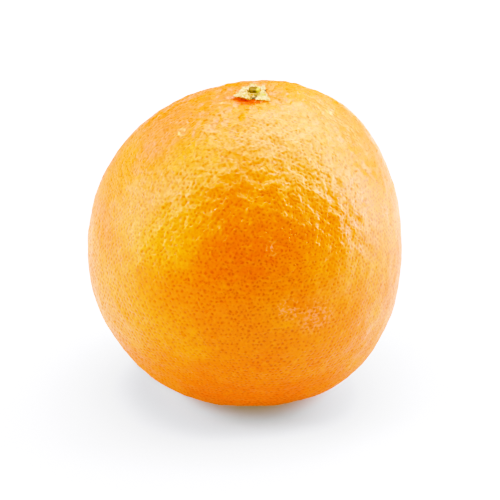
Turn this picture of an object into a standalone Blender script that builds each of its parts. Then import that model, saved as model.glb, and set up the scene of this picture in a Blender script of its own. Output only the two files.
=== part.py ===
"""A whole grapefruit, standing on its blossom end, with its dried calyx and the broken end of its stalk.

Metres, +Z up. The origin is the middle of the small flat spot that the fruit rests on.
The front of the fruit faces -Y.
"""

import math

import bmesh
import bpy
from mathutils import Vector, noise

MM = 0.001

# The fruit: its middle stands MIDDLE_HEIGHT above the surface, and RADIUS is its mean radius.
RADIUS = 53.0 * MM
MIDDLE_HEIGHT = 52.6 * MM
# The turned outline departs from a circle by these shares of the radius: a cosine of so many times
# the polar angle, which is 0 at the stalk end and a half turn at the blossom end.
OUTLINE_WAVES = {1: -0.007, 2: 0.0116, 3: 0.0105, 4: -0.0101}
# The body stands a little to the left of the line from the stalk end to the resting spot.
BODY_SHIFT = Vector((-2.65, 0, 0)) * MM
# What makes this fruit lopsided: (the way it faces, rise of the skin, angle over which it fades).
FLAT_LEFT_SHOULDER = (Vector((-0.52, 0.32, 0.79)), -1.95 * MM, math.radians(34))
FLAT_TOP_BACK = (Vector((-0.12, 0.40, 0.91)), -0.75 * MM, math.radians(20))
FULL_RIGHT_SHOULDER = (Vector((0.55, 0.38, 0.74)), 1.6 * MM, math.radians(28))
FULL_RIGHT_FLANK = (Vector((0.62, -0.33, -0.70)), 1.9 * MM, math.radians(34))
FLAT_RIGHT_SIDE = (Vector((0.95, -0.12, -0.28)), -1.0 * MM, math.radians(28))
FULL_LEFT_SIDE = (Vector((-1.0, -0.1, -0.15)), 0.6 * MM, math.radians(30))
FULL_BACK = (Vector((0.2, 0.95, -0.2)), 0.5 * MM, math.radians(40))
LOPSIDES = (
    FLAT_LEFT_SHOULDER,
    FLAT_TOP_BACK,
    FULL_RIGHT_SHOULDER,
    FULL_RIGHT_FLANK,
    FLAT_RIGHT_SIDE,
    FULL_LEFT_SIDE,
    FULL_BACK,
)
UNEVEN_RISE = 0.35 * MM
UNEVEN_SCALE = 2.6

# The stalk end: a shallow basin under the calyx, with low furrows that run out of it.
BASIN_DEPTH = 1.3 * MM
BASIN_RADIUS = 8.5 * MM
FURROW_RISE = 0.15 * MM
FURROW_PEAK = 13.0 * MM
# Each wave of furrows: how many stand round the stalk, how far they are turned, and their share of the rise.
FURROW_WAVES = ((9, 2.67, 1.0), (5, 0.61, 0.7), (12, 2.6, 0.35))
# The blossom end: a small dimple inside the resting spot.
BLOSSOM_DEPTH = 0.35 * MM
BLOSSOM_RADIUS = 5.0 * MM

FRUIT_SEGMENTS = 72
FRUIT_RINGS = 46
POLE_CROWDING = 0.5

# The calyx: a raised ring with a cup in it, and five sepals that spread from its foot.
GAP = 0.3 * MM
CUP_RADIUS = 2.25 * MM
CUP_FLOOR = 1.0 * MM
RIM_RADIUS = 2.7 * MM
RIM_HEIGHT = 1.8 * MM
RING_FOOT_RADIUS = 3.3 * MM
SEPAL_THICKNESS = 0.7 * MM
CALYX_STEPS = 84
# Between two sepals the edge of the calyx draws in to the notch.
NOTCH_RADIUS = 4.0 * MM
NOTCH_LIFT = 0.35 * MM
# Each sepal: the way it points in degrees, anticlockwise from +X seen from above, half the angle that
# its root takes, how far its tip reaches, and how far the tip curls up from the skin.
SEPALS = {
    "front_right": (-45, 48, 7.2 * MM, 0.2 * MM),
    "back_right": (50, 42, 5.9 * MM, 1.3 * MM),
    "back": (96, 25, 6.4 * MM, 1.7 * MM),
    "back_left": (129, 31, 5.6 * MM, 1.3 * MM),
    "front_left": (205, 50, 7.2 * MM, 0.7 * MM),
}
SEPAL_POINT = 1.2
SEPAL_CURL = 1.5

# The stalk's broken end, standing in the cup.
STUB_RADIUS = 1.9 * MM
STUB_HEIGHT = 1.2 * MM
STUB_SIDES = 20
STUB_BREAK = 0.16 * MM

RIND_COLOUR = (0.90, 0.36, 0.03, 1)
CALYX_COLOUR = (0.80, 0.72, 0.38, 1)
STUB_COLOUR = (0.24, 0.18, 0.04, 1)


def clear_scene():
    for obj in list(bpy.data.objects):
        bpy.data.objects.remove(obj, do_unlink=True)


def make_collection(name):
    collection = bpy.data.collections.new(name)
    bpy.context.scene.collection.children.link(collection)
    return collection


def make_material(name, colour, roughness):
    material = bpy.data.materials.new(name)
    material.use_nodes = True
    shader = material.node_tree.nodes["Principled BSDF"]
    shader.inputs["Base Color"].default_value = colour
    shader.inputs["Roughness"].default_value = roughness
    shader.inputs["Metallic"].default_value = 0.0
    return material


def make_object(name, mesh_edit, collection, material):
    bmesh.ops.recalc_face_normals(mesh_edit, faces=mesh_edit.faces[:])
    mesh = bpy.data.meshes.new(name)
    mesh_edit.to_mesh(mesh)
    mesh_edit.free()
    mesh.materials.append(material)
    mesh.shade_smooth()
    obj = bpy.data.objects.new(name, mesh)
    collection.objects.link(obj)
    return obj


def bell(distance, width):
    return math.exp(-((distance / width) ** 2))


def furrow_height(off_axis, turn):
    """The low folds of the rind round the stalk, highest at FURROW_PEAK from it."""
    waves = sum(share * math.cos(count * turn + shift) for count, shift, share in FURROW_WAVES)
    nearness = off_axis / FURROW_PEAK
    return FURROW_RISE * waves * (nearness * math.exp(1 - nearness)) ** 2


def skin_radius(direction):
    """Distance from the middle of the fruit to its skin, along a unit direction."""
    polar = math.acos(max(-1.0, min(1.0, direction.z)))
    radius = RADIUS * (1 + sum(share * math.cos(count * polar) for count, share in OUTLINE_WAVES.items()))
    radius += BODY_SHIFT.dot(direction)
    for facing, rise, fade in LOPSIDES:
        radius += rise * bell(direction.angle(facing), fade)
    radius += UNEVEN_RISE * noise.noise(direction * UNEVEN_SCALE)
    off_axis = radius * math.sin(polar)
    if direction.z > 0:
        radius -= BASIN_DEPTH * bell(off_axis, BASIN_RADIUS)
        radius += furrow_height(off_axis, math.atan2(direction.y, direction.x))
    else:
        radius -= BLOSSOM_DEPTH * bell(off_axis, BLOSSOM_RADIUS)
    return radius


def skin_height(x, y):
    """Height of the skin above the resting surface at a point near the stalk end."""
    across = math.hypot(x, y)
    rise = RADIUS
    for _ in range(6):
        radius = skin_radius(Vector((x, y, rise)).normalized())
        rise = math.sqrt(radius**2 - across**2)
    return MIDDLE_HEIGHT + rise


def build_fruit(collection):
    edit = bmesh.new()
    bmesh.ops.create_uvsphere(edit, u_segments=FRUIT_SEGMENTS, v_segments=FRUIT_RINGS, radius=1.0)
    for vert in edit.verts:
        polar = math.acos(max(-1.0, min(1.0, vert.co.z)))
        turn = math.atan2(vert.co.y, vert.co.x)
        # Rings crowd towards both ends, where the skin bends most.
        polar -= POLE_CROWDING * math.sin(2 * polar) / 2
        off_axis = math.sin(polar)
        direction = Vector((off_axis * math.cos(turn), off_axis * math.sin(turn), math.cos(polar)))
        vert.co = direction * skin_radius(direction) + Vector((0, 0, MIDDLE_HEIGHT))
    # The resting spot: the skin is pressed flat where it meets the surface.
    everything = edit.verts[:] + edit.edges[:] + edit.faces[:]
    cut = bmesh.ops.bisect_plane(edit, geom=everything, plane_co=(0, 0, 0), plane_no=(0, 0, -1), clear_outer=True)
    rim = [item for item in cut["geom_cut"] if isinstance(item, bmesh.types.BMEdge)]
    bmesh.ops.edgeloop_fill(edit, edges=rim)
    return make_object("fruit", edit, collection, make_material("rind", RIND_COLOUR, 0.38))


def turned_shape(section, steps):
    """A closed solid turned round Z from half a section, given as (distance from the axis, height)."""
    edit = bmesh.new()
    points = [edit.verts.new((across, 0, height)) for across, height in section]
    for pair in zip(points, points[1:]):
        edit.edges.new(pair)
    profile = bpy.data.meshes.new("section")
    edit.to_mesh(profile)
    edit.free()
    guide = bpy.data.objects.new("section", profile)
    bpy.context.scene.collection.objects.link(guide)
    turn = guide.modifiers.new("turn", "SCREW")
    turn.steps = steps
    turn.render_steps = steps
    turn.use_merge_vertices = True
    turn.merge_threshold = 1e-6
    turned = bpy.data.meshes.new_from_object(guide.evaluated_get(bpy.context.evaluated_depsgraph_get()))
    bpy.data.objects.remove(guide, do_unlink=True)
    edit = bmesh.new()
    edit.from_mesh(turned)
    bmesh.ops.remove_doubles(edit, verts=edit.verts[:], dist=1e-6)
    return edit


def sepal_edge(turn):
    """How far the edge of the calyx reaches in one direction, and how far it curls up there."""
    reach = NOTCH_RADIUS
    lift = NOTCH_LIFT
    for facing, half_width, tip_reach, tip_lift in SEPALS.values():
        off = abs(math.degrees(math.remainder(turn - math.radians(facing), math.tau)))
        share = max(0.0, 1 - off / half_width)
        here = NOTCH_RADIUS + (tip_reach - NOTCH_RADIUS) * share**SEPAL_POINT
        if here > reach:
            reach = here
            lift = NOTCH_LIFT + (tip_lift - NOTCH_LIFT) * share
    return reach, lift


def build_calyx(collection):
    blade = NOTCH_RADIUS - RING_FOOT_RADIUS
    # Half a section: the cup, the rim, the outer wall, the upper side of the sepals and the underside.
    section = (
        (0.0, CUP_FLOOR),
        (0.55 * CUP_RADIUS, CUP_FLOOR),
        (CUP_RADIUS, CUP_FLOOR),
        (CUP_RADIUS, 0.92 * RIM_HEIGHT),
        (RIM_RADIUS, RIM_HEIGHT),
        (0.55 * RIM_RADIUS + 0.45 * RING_FOOT_RADIUS, 0.75 * RIM_HEIGHT),
        (RING_FOOT_RADIUS, 1.3 * SEPAL_THICKNESS),
        (RING_FOOT_RADIUS + 0.4 * blade, SEPAL_THICKNESS),
        (RING_FOOT_RADIUS + 0.75 * blade, SEPAL_THICKNESS),
        (NOTCH_RADIUS, SEPAL_THICKNESS),
        (NOTCH_RADIUS, 0.0),
        (RING_FOOT_RADIUS + 0.75 * blade, 0.0),
        (RING_FOOT_RADIUS + 0.4 * blade, 0.0),
        (RING_FOOT_RADIUS, 0.0),
        (0.5 * RING_FOOT_RADIUS, 0.0),
        (0.0, 0.0),
    )
    edit = turned_shape(section, CALYX_STEPS)
    # The round edge is drawn out to the sepals, and everything is laid on the skin.
    for vert in edit.verts:
        across = math.hypot(vert.co.x, vert.co.y)
        turn = math.atan2(vert.co.y, vert.co.x)
        reach, lift = sepal_edge(turn)
        outward = max(0.0, (across - RING_FOOT_RADIUS) / blade)
        across = min(across, RING_FOOT_RADIUS) + outward * (reach - RING_FOOT_RADIUS)
        x = across * math.cos(turn)
        y = across * math.sin(turn)
        vert.co = (x, y, skin_height(x, y) + GAP + lift * outward**SEPAL_CURL + vert.co.z)
    return make_object("calyx", edit, collection, make_material("calyx", CALYX_COLOUR, 0.7))


def build_stalk_stub(collection):
    foot = skin_height(0, 0) + GAP + CUP_FLOOR + GAP
    edit = bmesh.new()
    bmesh.ops.create_cone(
        edit,
        cap_ends=True,
        segments=STUB_SIDES,
        radius1=STUB_RADIUS,
        radius2=0.9 * STUB_RADIUS,
        depth=STUB_HEIGHT,
    )
    top = max(edit.faces, key=lambda face: face.calc_center_median().z)
    bmesh.ops.inset_region(edit, faces=[top], thickness=0.3 * STUB_RADIUS)
    bmesh.ops.poke(edit, faces=[top])
    # The top is left uneven, as the stalk broke.
    for vert in edit.verts:
        if vert.co.z > 0:
            vert.co.z += STUB_BREAK * noise.noise(vert.co / STUB_RADIUS * 1.7)
        vert.co.z += foot + STUB_HEIGHT / 2
    return make_object("stalk_stub", edit, collection, make_material("stalk", STUB_COLOUR, 0.8))


def main():
    clear_scene()
    parts = make_collection("grapefruit")
    build_fruit(parts)
    build_calyx(parts)
    build_stalk_stub(parts)


main()
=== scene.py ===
# A whole grapefruit: pitted rind, dried calyx and broken stalk end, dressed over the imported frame.
import math
import random

import bmesh
import bpy
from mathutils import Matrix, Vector, noise
from mathutils.bvhtree import BVHTree


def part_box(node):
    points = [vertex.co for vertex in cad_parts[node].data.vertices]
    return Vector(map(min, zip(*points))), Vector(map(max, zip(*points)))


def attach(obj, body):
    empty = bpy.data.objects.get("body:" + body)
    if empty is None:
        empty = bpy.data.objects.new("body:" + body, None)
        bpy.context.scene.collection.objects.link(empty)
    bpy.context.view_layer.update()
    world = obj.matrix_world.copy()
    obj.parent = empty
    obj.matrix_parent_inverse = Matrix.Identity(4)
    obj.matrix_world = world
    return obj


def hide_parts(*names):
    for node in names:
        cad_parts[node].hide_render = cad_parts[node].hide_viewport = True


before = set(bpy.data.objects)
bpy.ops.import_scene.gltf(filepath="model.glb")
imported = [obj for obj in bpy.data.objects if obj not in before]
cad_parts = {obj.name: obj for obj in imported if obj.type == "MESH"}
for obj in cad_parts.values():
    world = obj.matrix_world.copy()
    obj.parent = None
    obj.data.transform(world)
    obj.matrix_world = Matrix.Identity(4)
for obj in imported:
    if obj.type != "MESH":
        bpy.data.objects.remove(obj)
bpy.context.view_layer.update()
mm = 0.001

fruitLow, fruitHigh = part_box("fruit")
middle = Vector((0, 0, (fruitLow.z + fruitHigh.z) / 2))
print("frame loaded, fruit box in mm:", [round(side / mm, 1) for side in fruitHigh - fruitLow])


# small helpers for the node trees
def freshMaterial(name):
    material = bpy.data.materials.new(name)
    material.use_nodes = True
    tree = material.node_tree
    return material, tree, tree.nodes["Principled BSDF"]


def fill(tree, socket, value):
    if isinstance(value, bpy.types.NodeSocket):
        tree.links.new(value, socket)
    elif value is not None:
        socket.default_value = value


def addNode(tree, kind, inputs, **settings):
    made = tree.nodes.new(kind)
    for name, value in settings.items():
        setattr(made, name, value)
    for name, value in inputs.items():
        fill(tree, made.inputs[name], value)
    return made


def calculate(tree, operation, first, second=None, third=None):
    made = addNode(tree, "ShaderNodeMath", {0: first, 1: second, 2: third}, operation=operation)
    return made.outputs[0]


def vectorMath(tree, operation, first, second=None):
    made = addNode(tree, "ShaderNodeVectorMath", {0: first, 1: second}, operation=operation)
    return made.outputs["Value" if operation in ("LENGTH", "DISTANCE", "DOT_PRODUCT") else "Vector"]


def mixColour(tree, factor, first, second, blend="MIX"):
    made = addNode(tree, "ShaderNodeMix", {}, data_type="RGBA", blend_type=blend)
    fill(tree, made.inputs[0], factor)
    fill(tree, made.inputs[6], first)
    fill(tree, made.inputs[7], second)
    return made.outputs[2]


# 0 below low, 1 above high, smooth between them; the other way round if low is the greater
def fade(tree, value, low, high, most=1.0):
    inputs = {"Value": value, "From Min": low, "From Max": high, "To Max": most}
    return addNode(tree, "ShaderNodeMapRange", inputs, interpolation_type="SMOOTHSTEP").outputs["Result"]


def cloud(tree, place, size, detail=2.0, rough=0.5):
    inputs = {"Vector": place, "Scale": 1 / size, "Detail": detail, "Roughness": rough}
    return addNode(tree, "ShaderNodeTexNoise", inputs).outputs["Fac"]


def cells(tree, place, size):
    return addNode(tree, "ShaderNodeTexVoronoi", {"Vector": place, "Scale": 1 / size}).outputs["Distance"]


def placeFrom(tree, centre):
    coordinates = tree.nodes.new("ShaderNodeTexCoord").outputs["Object"]
    return vectorMath(tree, "SUBTRACT", coordinates, tuple(centre))


def finishPiece(name, body, material, node):
    bmesh.ops.remove_doubles(body, verts=body.verts[:], dist=1e-7)
    bmesh.ops.recalc_face_normals(body, faces=body.faces[:])
    mesh = bpy.data.meshes.new(name)
    body.to_mesh(mesh)
    body.free()
    mesh.materials.append(material)
    mesh.shade_smooth()
    piece = bpy.data.objects.new(name, mesh)
    bpy.context.scene.collection.objects.link(piece)
    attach(piece, "root")
    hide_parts(node)
    return piece


# the frame's fruit has flat facets, so the new rind is laid on a smoothed copy of it
def smoothedFruit():
    body = bmesh.new()
    body.from_mesh(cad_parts["fruit"].data)
    bmesh.ops.remove_doubles(body, verts=body.verts[:], dist=1e-6)
    bmesh.ops.join_triangles(
        body,
        faces=body.faces[:],
        angle_face_threshold=math.radians(20),
        angle_shape_threshold=math.radians(60),
    )
    mesh = bpy.data.meshes.new("smoothedFruit")
    body.to_mesh(mesh)
    body.free()
    guide = bpy.data.objects.new("smoothedFruit", mesh)
    bpy.context.scene.collection.objects.link(guide)
    smooth = guide.modifiers.new("smooth", "SUBSURF")
    smooth.levels = smooth.render_levels = 2
    surface = BVHTree.FromObject(guide, bpy.context.evaluated_depsgraph_get())
    bpy.data.objects.remove(guide)
    return surface


surface = smoothedFruit()


def skinPoint(direction):
    return surface.ray_cast(middle, direction)[0]


def skinHeight(x, y):
    return surface.ray_cast(Vector((x, y, 2 * fruitHigh.z)), Vector((0, 0, -1)))[0].z


print("smoothed skin ready")

rind = {
    "glandRows": 39,  # oil glands along each edge of the first 20 faces, so about 1.6 mm apart
    "scatter": 0.36,  # how far a gland strays from even spacing, as a share of it
    "shallow": 0.05 * mm,  # least and most depth of a gland's dimple
    "deep": 0.20 * mm,
    "dome": 0.10 * mm,  # rise of the skin between glands
    # soft unevenness of the rind: size and rise of each layer of it, the finest mostly on the top
    "lumps": ((6.0 * mm, 0.19 * mm), (3.6 * mm, 0.15 * mm)),
    "topLumps": (2.5 * mm, 0.56 * mm),
    "topLumpsWay": (0.05, -0.40, 0.92),  # the finest layer is strongest where the skin faces this way
    "topLumpsLeast": 0.12,  # and has this share of its rise far from there
    "creaseRise": 0.12 * mm,  # fine folds that run out from the calyx
    "creaseCount": 17,
    "creaseReach": 9.0 * mm,
    "creaseWander": (0.5, 9.0 * mm),  # how far the folds turn aside, in radians, and over what size
    "calmRight": 0.38,  # how much flatter the skin is on its right side
    # where the skin is fuller low down: the way it faces, rise, and half angle in degrees
    "full": (((-0.40, -0.41, -0.82), 0.95 * mm, 20), ((0.44, -0.40, -0.80), 0.85 * mm, 18)),
}


def makeRindMesh():
    dice = random.Random(41)
    body = bmesh.new()
    gland = body.verts.layers.float.new("gland")  # up to 1 at a deep gland and 0 between glands
    bmesh.ops.create_icosphere(body, subdivisions=1, radius=1.0)
    bmesh.ops.subdivide_edges(body, edges=body.edges[:], cuts=rind["glandRows"], use_grid_fill=True)
    spacing = 1.05 / (rind["glandRows"] + 1)  # an edge of the first 20 faces is 1.05 times the radius
    for vert in body.verts:
        stray = Vector((dice.uniform(-1, 1), dice.uniform(-1, 1), dice.uniform(-1, 1)))
        vert.co = vert.co.normalized() + stray * spacing * rind["scatter"]
    fresh = bmesh.ops.subdivide_edges(body, edges=body.edges[:], cuts=1, use_grid_fill=True)["geom_inner"]
    between = {item for item in fresh if isinstance(item, bmesh.types.BMVert)}
    for vert in body.verts:
        vert.co = skinPoint(vert.co.normalized())
        off = vert.co - middle
        facing = off.normalized()
        rise = sum(most * noise.noise(off / size) for size, most in rind["lumps"])
        size, most = rind["topLumps"]
        high = min(1, max(rind["topLumpsLeast"], 1.6 * facing.dot(rind["topLumpsWay"]) - 0.5))
        rise += high * most * noise.noise(off / size)
        calm = 1 - rind["calmRight"] * min(1, max(0, 1.6 * facing.x - 0.3))
        for direction, most, halfAngle in rind["full"]:
            rise += most * math.exp(-((off.angle(Vector(direction)) / math.radians(halfAngle)) ** 2))
        if off.z > 0:
            across = math.hypot(off.x, off.y)
            wander, size = rind["creaseWander"]
            turn = math.atan2(off.y, off.x) + wander * noise.noise(off / size)
            nearness = across / rind["creaseReach"]
            swell = (nearness * math.exp(1 - nearness)) ** 2
            rise += rind["creaseRise"] * swell * math.cos(rind["creaseCount"] * turn)
        if vert in between:
            vert[gland] = 0
            rise += calm * rind["dome"] * dice.random()
        else:
            vert[gland] = 0.35 + 0.65 * dice.random()
            rise -= calm * (rind["shallow"] + (rind["deep"] - rind["shallow"]) * vert[gland])
        vert.co += facing * rise
        vert.co.z = max(vert.co.z, fruitLow.z)  # nothing goes below the flat spot that it rests on
    return body


rindLook = {
    "deepOrange": (0.79, 0.108, 0.002, 1),
    "orange": (0.83, 0.155, 0.004, 1),
    "golden": (0.87, 0.245, 0.030, 1),
    # pale and cream are paler tints used as painted sheen where the lights reflect
    "pale": (0.88, 0.225, 0.060, 1),
    "cream": (0.90, 0.27, 0.12, 1),
    "blush": (0.85, 0.160, 0.022, 1),
    "pink": (0.85, 0.170, 0.085, 1),
    # painted shade: a deeper orange for the underside and for the front that faces the camera
    "shadedOrange": (0.75, 0.060, 0.001, 1),
    "mottle": (0.86, 0.24, 0.012, 1),
    "mottleSize": 1.5 * mm,
    "gland": (0.67, 0.52, 0.29, 1),  # the skin's colour is multiplied by this in a gland or pore, partly their own colour and partly painted shade in the pits
    "poreSpacing": 1.45 * mm,
    "grain": (0.88, 0.81, 0.64, 1),  # by this in the darker grain between glands
    "grainSize": 1.2 * mm,
    "hollow": (0.96, 0.89, 0.66, 1),  # and by this in the wide hollows of the coarse part, as painted shade
    "hollowSize": 2.5 * mm,
    "coarseWay": (-0.05, -0.40, 0.92),  # the rind is coarsest where it faces this way
    "yellowScar": (0.88, 0.52, 0.22, 1),
    "pinkScar": (0.86, 0.215, 0.15, 1),
    # painted shade on the skin under the raised front edge of the calyx
    "shadeNearCalyx": (0.67, 0.026, 0.001, 1),
    "shadeNearCalyxPlace": (-1.8 * mm, -2.5 * mm),
    "shadeNearCalyxFade": (7.2 * mm, 5.0 * mm),  # how far out it starts, and where it is full
    "blossomScar": (0.25, 0.15, 0.05, 1),
    "blossomScarFade": (3.6 * mm, 2.4 * mm),
    "roughness": (0.24, 0.36),
    "lowRoughness": 0.22,  # added on the lower half
    "sideRoughness": 0.15,  # and to the left and right
    "shine": 0.28,
    "bumpDepth": 0.24 * mm,
    # broad patches: colour, the way each faces, its half angle in degrees, and how strongly it shows
    "patches": (
        ("golden", (-0.57, -0.66, 0.49), 19, 0.75),
        ("golden", (-0.38, -0.54, 0.76), 13, 0.60),
        ("golden", (0.24, -0.43, 0.87), 18, 0.50),
        ("golden", (0.48, -0.42, 0.77), 20, 0.30),
        # the pale and cream patches are painted sheen on the top and sides
        ("pale", (-0.12, -0.35, 0.93), 16, 0.50),
        ("pale", (-0.40, -0.52, 0.75), 16, 0.50),
        ("pale", (0.34, -0.48, 0.81), 22, 0.75),
        ("pale", (0.30, 0.05, 0.95), 18, 0.60),
        ("pale", (0.52, -0.83, 0.19), 13, 0.30),
        ("cream", (0.66, 0.00, 0.75), 17, 0.42),
        ("pale", (-0.73, -0.16, 0.66), 12, 0.50),
        ("golden", (-0.80, -0.58, -0.15), 18, 0.40),
        ("golden", (0.30, 0.93, 0.10), 50, 0.60),
        ("blush", (-0.69, -0.42, 0.59), 17, 0.50),
        ("pink", (-0.50, -0.18, 0.85), 15, 0.80),
        ("pink", (-0.30, -0.05, 0.95), 10, 0.60),
        ("pink", (-0.12, 0.10, 0.98), 14, 0.60),
        ("blush", (0.84, -0.32, 0.44), 16, 0.60),
        ("blush", (-0.62, 0.70, 0.30), 26, 0.60),
        # painted shade under the fruit and on its front
        ("shadedOrange", (0.02, -0.62, -0.78), 28, 0.85),
        ("shadedOrange", (0.05, -0.96, 0.22), 18, 0.20),
    ),
    # scars: colour, the way each faces, its radius, and how strongly it shows
    "scars": (
        ("yellowScar", (-0.43, -0.29, 0.85), 2.2 * mm, 0.7),
        ("yellowScar", (-0.19, -0.10, 0.98), 1.2 * mm, 0.8),
        ("yellowScar", (0.46, -0.03, 0.89), 1.6 * mm, 0.6),
        ("pinkScar", (0.10, -0.91, 0.40), 3.0 * mm, 0.7),
        ("pinkScar", (0.21, -0.97, 0.02), 4.5 * mm, 0.4),
        ("pinkScar", (0.38, -0.92, -0.06), 7.0 * mm, 0.35),
        ("pinkScar", (0.85, -0.36, 0.39), 2.5 * mm, 0.6),
    ),
}


def rindMaterial():
    material, tree, shader = freshMaterial("rind")
    place = placeFrom(tree, middle)
    facing = vectorMath(tree, "NORMALIZE", place)
    gland = addNode(tree, "ShaderNodeAttribute", {}, attribute_name="gland").outputs["Fac"]
    ragged = cloud(tree, place, 1.6 * mm, 3, 0.7)

    drift = fade(tree, cloud(tree, place, 24 * mm, 3, 0.55), 0.40, 0.66)
    colour = mixColour(tree, drift, rindLook["deepOrange"], rindLook["orange"])

    # where the rind faces one of the patches, with a cloudy edge
    broad = calculate(tree, "MULTIPLY_ADD", cloud(tree, place, 12 * mm, 4, 0.6), 0.6, -0.30)
    for tint, direction, halfAngle, strength in rindLook["patches"]:
        close = vectorMath(tree, "DOT_PRODUCT", facing, tuple(Vector(direction).normalized()))
        away = calculate(tree, "ADD", calculate(tree, "ARCCOSINE", close), broad)
        reach = math.radians(halfAngle)
        colour = mixColour(tree, fade(tree, away, 1.4 * reach, 0.5 * reach, strength), colour, rindLook[tint])

    mottling = fade(tree, cloud(tree, place, rindLook["mottleSize"], 4, 0.65), 0.48, 0.75, 0.25)
    colour = mixColour(tree, mottling, colour, rindLook["mottle"])
    graining = fade(tree, cloud(tree, place, rindLook["grainSize"], 2, 0.5), 0.62, 0.38)
    colour = mixColour(tree, graining, colour, rindLook["grain"], "MULTIPLY")
    # painted shade on the skin under the calyx's raised front edge
    away = vectorMath(tree, "DISTANCE", place, (*rindLook["shadeNearCalyxPlace"], fruitHigh.z - middle.z))
    away = calculate(tree, "MULTIPLY_ADD", ragged, 1.5 * mm, away)
    calyxShade = fade(tree, away, *rindLook["shadeNearCalyxFade"], 0.95)
    colour = mixColour(tree, calyxShade, colour, rindLook["shadeNearCalyx"])

    # scars: pale speckles that thin out from the middle
    speckles = fade(tree, cloud(tree, place, 1.2 * mm, 2), 0.42, 0.62)
    for tint, direction, radius, strength in rindLook["scars"]:
        spot = skinPoint(Vector(direction).normalized()) - middle
        away = vectorMath(tree, "DISTANCE", place, tuple(spot))
        away = calculate(tree, "MULTIPLY_ADD", ragged, radius, away)
        mark = calculate(tree, "MULTIPLY", fade(tree, away, 1.7 * radius, 0.9 * radius, strength), speckles)
        colour = mixColour(tree, mark, colour, rindLook[tint])

    # on the top and its front the rind is coarser, with wide hollows between ridges; painted shade darkens
    # the hollows, so the ridges look paler
    upward = vectorMath(tree, "DOT_PRODUCT", facing, rindLook["coarseWay"])
    coarse = fade(tree, upward, 0.35, 0.90)
    hollow = fade(tree, cloud(tree, place, rindLook["hollowSize"], 1), 0.58, 0.40)
    hollow = calculate(tree, "MULTIPLY", hollow, coarse)
    colour = mixColour(tree, hollow, colour, rindLook["hollow"], "MULTIPLY")

    # glands show as small darker dots, with finer pores between them: partly their own colour, partly painted
    # shade in the pits
    poreDots = fade(tree, cells(tree, place, rindLook["poreSpacing"]), 0.38, 0.12, 0.75)
    dots = calculate(tree, "MAXIMUM", fade(tree, gland, 0.12, 0.62), poreDots)
    faint = calculate(tree, "MULTIPLY_ADD", coarse, -0.12, 1.0)
    colour = mixColour(tree, calculate(tree, "MULTIPLY", dots, faint), colour, rindLook["gland"], "MULTIPLY")

    # the scar of the blossom, under the fruit
    away = vectorMath(tree, "DISTANCE", place, (0, 0, fruitLow.z - middle.z))
    under = fade(tree, away, *rindLook["blossomScarFade"], 0.8)
    colour = mixColour(tree, under, colour, rindLook["blossomScar"])
    fill(tree, shader.inputs["Base Color"], colour)

    rough = addNode(tree, "ShaderNodeMapRange", {
        "Value": cloud(tree, place, 6 * mm, 3),
        "To Min": rindLook["roughness"][0],
        "To Max": rindLook["roughness"][1],
    }).outputs["Result"]
    rightward = vectorMath(tree, "DOT_PRODUCT", facing, (1, 0, 0))
    low = fade(tree, upward, 0.15, -0.45, rindLook["lowRoughness"])
    side = fade(tree, calculate(tree, "ABSOLUTE", rightward), 0.60, 0.95, rindLook["sideRoughness"])
    duller = calculate(tree, "MAXIMUM", low, side)
    fill(tree, shader.inputs["Roughness"], calculate(tree, "ADD", rough, duller))
    shader.inputs["Specular IOR Level"].default_value = rindLook["shine"]

    # dimples at the glands, with fine grain between them, calmer on the right
    dimple = calculate(tree, "MULTIPLY_ADD", poreDots, -0.6, fade(tree, gland, 0.85, 0.0))
    grain = calculate(tree, "MULTIPLY_ADD", cloud(tree, place, 0.9 * mm, 2), 0.4, dimple)
    grain = calculate(tree, "MULTIPLY", grain, calculate(tree, "MULTIPLY_ADD", coarse, -0.35, 1.0))
    calm = fade(tree, rightward, 0.3, 0.9, -0.25)
    bump = addNode(tree, "ShaderNodeBump", {
        "Strength": calculate(tree, "ADD", calculate(tree, "MULTIPLY_ADD", coarse, 0.35, 0.42), calm),
        "Distance": rindLook["bumpDepth"],
        "Height": calculate(tree, "MULTIPLY_ADD", hollow, -1.2, grain),
    })
    fill(tree, shader.inputs["Normal"], bump.outputs["Normal"])
    return material


rindPiece = finishPiece("rindSkin", makeRindMesh(), rindMaterial(), "fruit")
rindPiece.visible_diffuse = False  # keeps the orange glow of the rind off the white floor
print("rind made with", len(rindPiece.data.vertices), "points")

calyx = {
    "steps": 180,
    "gap": 0.30 * mm,  # between the calyx and the skin
    "cup": (2.15 * mm, 1.0 * mm),  # radius, and height of its floor
    "rim": (2.55 * mm, 1.7 * mm),
    "ringFoot": 2.9 * mm,
    "thickness": (0.70 * mm, 0.30 * mm),  # at the foot of the ring and at the edge
    # the edge, as corners going round: degrees from the right, reach and lift in mm
    "edge": (
        (-68, 5.0, 0.00),
        (-57, 6.1, 0.00),
        (-44, 7.4, 0.00),  # front right sepal
        (-29, 5.5, 0.05),
        (-8, 4.3, 0.15),
        (15, 4.0, 0.10),
        (33, 4.8, 0.15),
        (57, 6.4, 0.75),  # back right sepal
        (74, 4.9, 0.60),
        (86, 5.9, 1.45),  # back sepal, curled up
        (102, 6.0, 1.55),
        (111, 5.2, 1.00),
        (122, 6.1, 0.95),  # back left sepal
        (146, 5.3, 0.55),
        (196, 7.1, 0.35),  # front left sepal
        (207, 7.1, 0.60),
        (225, 6.0, 0.85),
        (244, 5.3, 0.80),
        (258, 5.0, 0.50),
        (264, 3.7, 0.10),  # the gap between the front sepals
        (268, 3.7, 0.10),
        (276, 4.8, 0.10),
    ),
    "ragged": 0.20 * mm,  # unevenness of the outline
    "veinRise": 0.16 * mm,
    "veinCount": 31,
    "wrinkle": 0.30 * mm,
    "wrinkleSizes": (1.7 * mm, 0.7 * mm),
    "ringLumps": 0.30 * mm,
    "clearance": 0.12 * mm,  # nothing comes nearer to the skin
}


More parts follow.
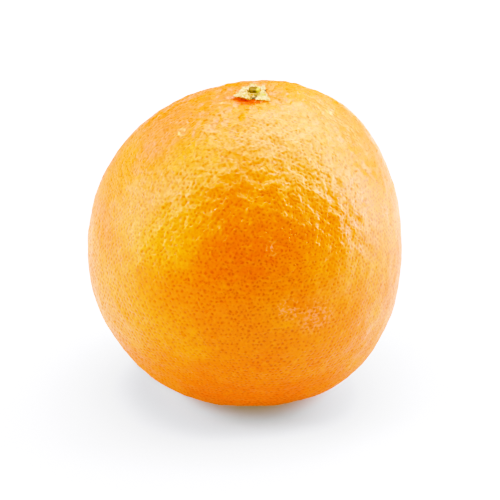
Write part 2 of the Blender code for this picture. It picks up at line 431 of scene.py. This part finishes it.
def calyxSection():
    cupRadius, cupFloor = calyx["cup"]
    rimRadius, rimHeight = calyx["rim"]
    foot = calyx["ringFoot"]
    thick, thin = calyx["thickness"]
    tip = 2 * foot
    points = [(0, cupFloor), (0.5 * cupRadius, cupFloor), (0.9 * cupRadius, cupFloor)]
    # the rim is a rounded lip
    lip = (rimRadius - cupRadius) / 2
    points.append((cupRadius, cupFloor + 0.2 * mm))
    for step in range(5):
        angle = math.pi * (1 - step / 4)
        points.append((cupRadius + lip + lip * math.cos(angle), rimHeight - lip + lip * math.sin(angle)))
    # the outer wall runs out into the sepals
    for share in (0.35, 0.7, 1.0):
        height = rimHeight - lip + (thick - rimHeight + lip) * math.sin(share * math.pi / 2)
        points.append((rimRadius + (foot - rimRadius) * share, height))
    outward = (0.08, 0.17, 0.27, 0.37, 0.47, 0.57, 0.67, 0.77, 0.87, 0.95)
    for share in outward:
        points.append((foot + (tip - foot) * share, thick + (thin - thick) * share))
    points.append((tip, thin / 2))
    for share in reversed(outward):
        points.append((foot + (tip - foot) * share, 0))
    points += [(foot, 0), (0.5 * foot, 0), (0, 0)]
    return points


# reach and lift of the calyx's edge that way: straight from one corner to the next
def calyxEdge(turn):
    corners = calyx["edge"]
    degrees = (math.degrees(turn) - corners[0][0]) % 360 + corners[0][0]
    for (fromTurn, fromReach, fromLift), (toTurn, toReach, toLift) in zip(corners, corners[1:] + corners[:1]):
        toTurn = toTurn if toTurn > fromTurn else toTurn + 360
        if degrees <= toTurn:
            break
    before, after = math.radians(degrees - fromTurn), math.radians(toTurn - degrees)
    reach = fromReach * toReach * math.sin(before + after)
    reach /= fromReach * math.sin(before) + toReach * math.sin(after)
    share = before / (before + after)
    return reach * mm, (fromLift + (toLift - fromLift) * share) * mm


def makeCalyxMesh():
    body = bmesh.new()
    points = [body.verts.new((across, 0, height)) for across, height in calyxSection()]
    edges = [body.edges.new(pair) for pair in zip(points, points[1:])]
    bmesh.ops.spin(
        body,
        geom=points + edges,
        cent=(0, 0, 0),
        axis=(0, 0, 1),
        angle=math.tau,
        steps=calyx["steps"],
        use_merge=True,
    )
    bmesh.ops.remove_doubles(body, verts=body.verts[:], dist=1e-6)
    foot = calyx["ringFoot"]
    along = body.verts.layers.float.new("along")  # 0 at the ring and 1 at the edge of the sepals
    for vert in body.verts:
        across = math.hypot(vert.co.x, vert.co.y)
        turn = math.atan2(vert.co.y, vert.co.x)
        reach, lift = calyxEdge(turn)
        about = Vector((math.cos(turn), math.sin(turn), 0))
        reach += calyx["ragged"] * (noise.noise(about * 6) + 0.6 * noise.noise(about * 17))
        outward = max(0, (across - foot) / foot)
        across = min(across, foot) + outward * (reach - foot)
        x, y = across * math.cos(turn), across * math.sin(turn)
        height = vert.co.z + calyx["gap"] + lift * outward**1.4
        wide, fine = calyx["wrinkleSizes"]
        crumple = noise.noise(Vector((x, y, 3 * mm)) / wide) + 0.5 * noise.noise(Vector((x, y, 0)) / fine)
        veins = math.sin(calyx["veinCount"] * turn + 2.5 * noise.noise(about * 2.2))
        height += (calyx["wrinkle"] * crumple + calyx["veinRise"] * veins) * min(1, outward * 2.5)
        if outward == 0 and vert.co.z > calyx["cup"][1]:
            height += calyx["ringLumps"] * noise.noise(about * 2.6 + Vector((4, 0, 0)))
        height = max(height, calyx["clearance"])
        vert.co = (x, y, skinHeight(x, y) + height)
        vert[along] = outward
    return body


calyxLook = {
    "straw": (0.50, 0.22, 0.045, 1),
    "cream": (0.78, 0.40, 0.20, 1),
    "green": (0.30, 0.24, 0.015, 1),
    "stain": (0.22, 0.12, 0.030, 1),
    "driedEdge": (0.26, 0.12, 0.02, 1),
    "brown": (0.012, 0.005, 0.001, 1),
    "roughness": 0.75,
    # specks: place from the calyx's middle and radius in mm, and colour
    "specks": (
        (-1.00, -3.15, 0.60, "brown"),
        (0.75, -3.05, 0.55, "brown"),
        # this speck covers the gap between the front sepals: partly brown, partly painted shade in that gap
        (-0.20, -3.90, 0.90, "brown"),
        (3.25, -1.20, 0.90, "green"),
        (3.80, 2.60, 0.60, "brown"),
        (-2.30, 0.90, 0.45, "brown"),
        (-3.00, -1.60, 0.70, "green"),
    ),
}


def calyxMaterial():
    material, tree, shader = freshMaterial("calyx")
    top = Vector((0, 0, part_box("calyx")[0].z))
    place = placeFrom(tree, top)
    along = addNode(tree, "ShaderNodeAttribute", {}, attribute_name="along").outputs["Fac"]
    fibres = cloud(tree, place, 0.40 * mm, 4, 0.7)
    stains = cloud(tree, place, 0.95 * mm, 4, 0.7)
    blotches = fade(tree, cloud(tree, place, 1.3 * mm, 4, 0.65), 0.40, 0.60)
    colour = mixColour(tree, blotches, calyxLook["straw"], calyxLook["cream"])
    nearRing = calculate(tree, "MULTIPLY", cloud(tree, place, 2.0 * mm, 2), fade(tree, along, 0.6, 0.0))
    colour = mixColour(tree, fade(tree, nearRing, 0.35, 0.60, 0.6), colour, calyxLook["green"])
    colour = mixColour(tree, fade(tree, stains, 0.50, 0.60, 0.90), colour, calyxLook["stain"])
    dried = calculate(tree, "MULTIPLY", fade(tree, along, 0.82, 0.98), fade(tree, stains, 0.40, 0.56, 0.85))
    colour = mixColour(tree, dried, colour, calyxLook["driedEdge"])
    flatPlace = vectorMath(tree, "MULTIPLY", place, (1, 1, 0))
    for x, y, radius, tint in calyxLook["specks"]:
        away = vectorMath(tree, "DISTANCE", flatPlace, (x * mm, y * mm, 0))
        speck = fade(tree, away, radius * mm, 0.6 * radius * mm, 0.95)
        colour = mixColour(tree, speck, colour, calyxLook[tint])
    fill(tree, shader.inputs["Base Color"], colour)
    shader.inputs["Roughness"].default_value = calyxLook["roughness"]
    bump = addNode(tree, "ShaderNodeBump", {"Strength": 0.8, "Distance": 0.12 * mm, "Height": fibres})
    fill(tree, shader.inputs["Normal"], bump.outputs["Normal"])
    return material


calyxPiece = finishPiece("calyxStar", makeCalyxMesh(), calyxMaterial(), "calyx")
calyxSmooth = calyxPiece.modifiers.new("smooth", "SUBSURF")
calyxSmooth.levels = calyxSmooth.render_levels = 1
print("calyx made")

stalk = {
    "sides": 48,
    "radius": 1.9 * mm,
    "taper": 0.93,  # width of the top, as a share of the foot's
    "topRings": (0.06, 0.16, 0.22, 0.22, 0.2),  # width of each ring on the top, as a share of the radius
    "break": 0.16 * mm,  # unevenness of the broken top
    "pit": 0.25 * mm,  # depth of the hollow in its middle
    "pitWidth": 0.8 * mm,
    "brown": (0.085, 0.034, 0.001, 1),
    "olive": (0.17, 0.080, 0.002, 1),
    "lime": (0.43, 0.31, 0.04, 1),
    "limeFade": (1.1 * mm, 1.7 * mm),  # how far out on that side it starts, and where it is full
    "roughness": 0.85,
}


def makeStalkMesh():
    low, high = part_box("stalk_stub")
    body = bmesh.new()
    bmesh.ops.create_cone(
        body,
        cap_ends=True,
        segments=stalk["sides"],
        radius1=stalk["radius"],
        radius2=stalk["taper"] * stalk["radius"],
        depth=high.z - low.z - stalk["break"],
    )
    # rings on the top, which then breaks up
    cap = max(body.faces, key=lambda face: face.calc_center_median().z)
    for share in stalk["topRings"]:
        bmesh.ops.inset_region(body, faces=[cap], thickness=share * stalk["radius"])
    bmesh.ops.poke(body, faces=[cap])
    sides = [edge for edge in body.edges if abs(edge.verts[0].co.z - edge.verts[1].co.z) > 0.5 * mm]
    bmesh.ops.subdivide_edges(body, edges=sides, cuts=4)
    foot = min(vert.co.z for vert in body.verts)
    for vert in body.verts:
        across = math.hypot(vert.co.x, vert.co.y)
        spot = vert.co / (0.55 * mm)
        if vert.co.z > 0 and across < 0.95 * stalk["radius"]:
            vert.co.z += stalk["break"] * noise.noise(spot)
            vert.co.z -= stalk["pit"] * math.exp(-((across / stalk["pitWidth"]) ** 2))
        side = Vector((vert.co.x, vert.co.y, 0))
        if across > 0.8 * stalk["radius"]:
            vert.co -= side * 0.07 * (0.5 + noise.noise(spot * 0.8))
        vert.co.z += low.z - foot
    return body


def stalkMaterial():
    material, tree, shader = freshMaterial("stalk")
    low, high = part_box("stalk_stub")
    place = placeFrom(tree, (0, 0, high.z))
    mottle = cloud(tree, place, 0.8 * mm, 4, 0.65)
    colour = mixColour(tree, fade(tree, mottle, 0.4, 0.6), stalk["brown"], stalk["olive"])
    # one side is still yellow-green
    side = vectorMath(tree, "DOT_PRODUCT", place, (0.93, -0.2, 0.3))
    side = calculate(tree, "MULTIPLY_ADD", mottle, 1.2 * mm, side)
    colour = mixColour(tree, fade(tree, side, *stalk["limeFade"]), colour, stalk["lime"])
    fill(tree, shader.inputs["Base Color"], colour)
    shader.inputs["Roughness"].default_value = stalk["roughness"]
    fibres = cloud(tree, place, 0.2 * mm, 4, 0.7)
    bump = addNode(tree, "ShaderNodeBump", {"Strength": 0.7, "Distance": 0.10 * mm, "Height": fibres})
    fill(tree, shader.inputs["Normal"], bump.outputs["Normal"])
    return material


finishPiece("stalkEnd", makeStalkMesh(), stalkMaterial(), "stalk_stub")
print("stalk end made")

camera = {
    "elevation": math.radians(27),
    "distance": 0.9,
    "view": 0.16474,  # width of the view at the fruit
    "aim": (-1.32 * mm, -3.23 * mm),  # the picture's centre, left of and below the middle
    "sensor": 36,
}


def placeCamera():
    toward = Vector((0, -math.cos(camera["elevation"]), math.sin(camera["elevation"])))
    up = Vector((0, math.sin(camera["elevation"]), math.cos(camera["elevation"])))
    aim = middle + Vector((1, 0, 0)) * camera["aim"][0] + up * camera["aim"][1]
    data = bpy.data.cameras.new("camera")
    data.sensor_width = camera["sensor"]
    data.lens = camera["sensor"] * camera["distance"] / camera["view"]
    data.clip_start = 0.05
    eye = bpy.data.objects.new("camera", data)
    eye.location = aim + toward * camera["distance"]
    eye.rotation_euler = toward.to_track_quat("Z", "Y").to_euler()
    bpy.context.scene.collection.objects.link(eye)
    bpy.context.scene.camera = eye


light = {
    # each softbox, aimed at the fruit: degrees to the right of the front, degrees up, then distance, width
    # and height in metres, and watts
    "left": (-92, 14, 0.75, 0.6, 0.7, 8.2),
    "leftFront": (-66, 36, 0.80, 0.3, 0.4, 3.0),
    "right": (99, 16, 0.75, 0.5, 0.7, 10.4),
    "rightHigh": (98, 48, 0.75, 0.5, 0.4, 1.6),
    "backRight": (140, 36, 0.75, 0.3, 0.3, 1.3),
    "back": (165, 50, 0.80, 0.5, 0.3, 3.2),
    "top": (180, 86, 0.80, 0.8, 0.8, 11.0),
    "topFront": (0, 82, 0.80, 0.6, 0.4, 1.8),
}
worldLook = {
    "front": 0.02,  # brightness of the room towards the camera
    "behind": 0.20,
    "fadeFrom": 0.75,  # cosines from the camera's direction
    "fadeTo": 0.0,
}


def placeLights():
    for name, (azimuth, elevation, distance, width, height, power) in light.items():
        turn, rise = math.radians(azimuth), math.radians(elevation)
        out = Vector((math.sin(turn) * math.cos(rise), -math.cos(turn) * math.cos(rise), math.sin(rise)))
        data = bpy.data.lights.new(name, "AREA")
        data.shape = "RECTANGLE"
        data.size, data.size_y = width, height
        data.energy = power
        # otherwise rays that skip the rind would light its shadow
        data.cycles.use_multiple_importance_sampling = False
        box = bpy.data.objects.new(name, data)
        box.location = middle + out * distance
        box.rotation_euler = out.to_track_quat("Z", "Y").to_euler()
        bpy.context.scene.collection.objects.link(box)


def lightWorld():
    world = bpy.data.worlds.new("studio")
    world.use_nodes = True
    bpy.context.scene.world = world
    tree = world.node_tree
    sky = tree.nodes.new("ShaderNodeTexCoord").outputs["Generated"]
    toward = (0, -math.cos(camera["elevation"]), math.sin(camera["elevation"]))
    near = vectorMath(tree, "DOT_PRODUCT", sky, toward)
    near = fade(tree, near, worldLook["fadeTo"], worldLook["fadeFrom"])
    spread = worldLook["front"] - worldLook["behind"]
    strength = calculate(tree, "MULTIPLY_ADD", near, spread, worldLook["behind"])
    fill(tree, tree.nodes["Background"].inputs["Strength"], strength)
    tree.nodes["Background"].inputs["Color"].default_value = (1, 1, 1, 1)


floorLook = {
    "halfWidth": 3,  # in metres
    "white": (0.93, 0.93, 0.93, 1),
    # a tint close to the contact, in place of the rind's light on the floor: where it starts and is full
    "glow": (0.93, 0.43, 0.38, 1),
    "glowReach": (29 * mm, 17 * mm),
    # faint light that the floor gives off there and a little further out
    "lift": (1.0, 0.82, 0.76, 1),
    "liftReach": (42 * mm, 22 * mm),
    "liftStrength": 0.12,
    "roughness": 0.9,
}


def layFloor():
    body = bmesh.new()
    bmesh.ops.create_grid(body, x_segments=1, y_segments=1, size=floorLook["halfWidth"])
    mesh = bpy.data.meshes.new("floor")
    body.to_mesh(mesh)
    body.free()
    material, tree, shader = freshMaterial("floor")
    away = vectorMath(tree, "LENGTH", placeFrom(tree, (0, 0, 0)))
    glow = fade(tree, away, *floorLook["glowReach"])
    fill(tree, shader.inputs["Base Color"], mixColour(tree, glow, floorLook["white"], floorLook["glow"]))
    shader.inputs["Emission Color"].default_value = floorLook["lift"]
    lift = fade(tree, away, *floorLook["liftReach"], floorLook["liftStrength"])
    fill(tree, shader.inputs["Emission Strength"], lift)
    shader.inputs["Roughness"].default_value = floorLook["roughness"]
    shader.inputs["Specular IOR Level"].default_value = 0.0
    mesh.materials.append(material)
    floor = bpy.data.objects.new("floor", mesh)
    floor.location.z = fruitLow.z
    bpy.context.scene.collection.objects.link(floor)


# brights roll off softly before they reach white, and low blues are lowered, which keeps the orange pure
viewCurve = ((0, 0), (0.70, 0.70), (1.06, 0.865), (1.4, 0.915), (1.9, 0.962), (2.3, 1.0), (6.0, 1.0))
blueCurve = ((0, 0), (0.05, 0.0005), (0.09, 0.009), (0.14, 0.058), (0.23, 0.18), (0.42, 0.41), (6.0, 6.0))


def setView():
    view = bpy.context.scene.view_settings
    view.view_transform = "Standard"
    view.use_curve_mapping = True
    mapping = view.curve_mapping
    mapping.clip_max_x = mapping.clip_max_y = viewCurve[-1][0]
    # curve 3 is for all channels together and curve 2 for blue
    for curve, wanted in ((mapping.curves[3], viewCurve), (mapping.curves[2], blueCurve)):
        curve.points[0].location = wanted[0]
        curve.points[1].location = wanted[-1]
        for point in wanted[1:-1]:
            curve.points.new(*point)
    mapping.update()


placeCamera()
placeLights()
lightWorld()
layFloor()
setView()
print("camera, lights and floor placed")
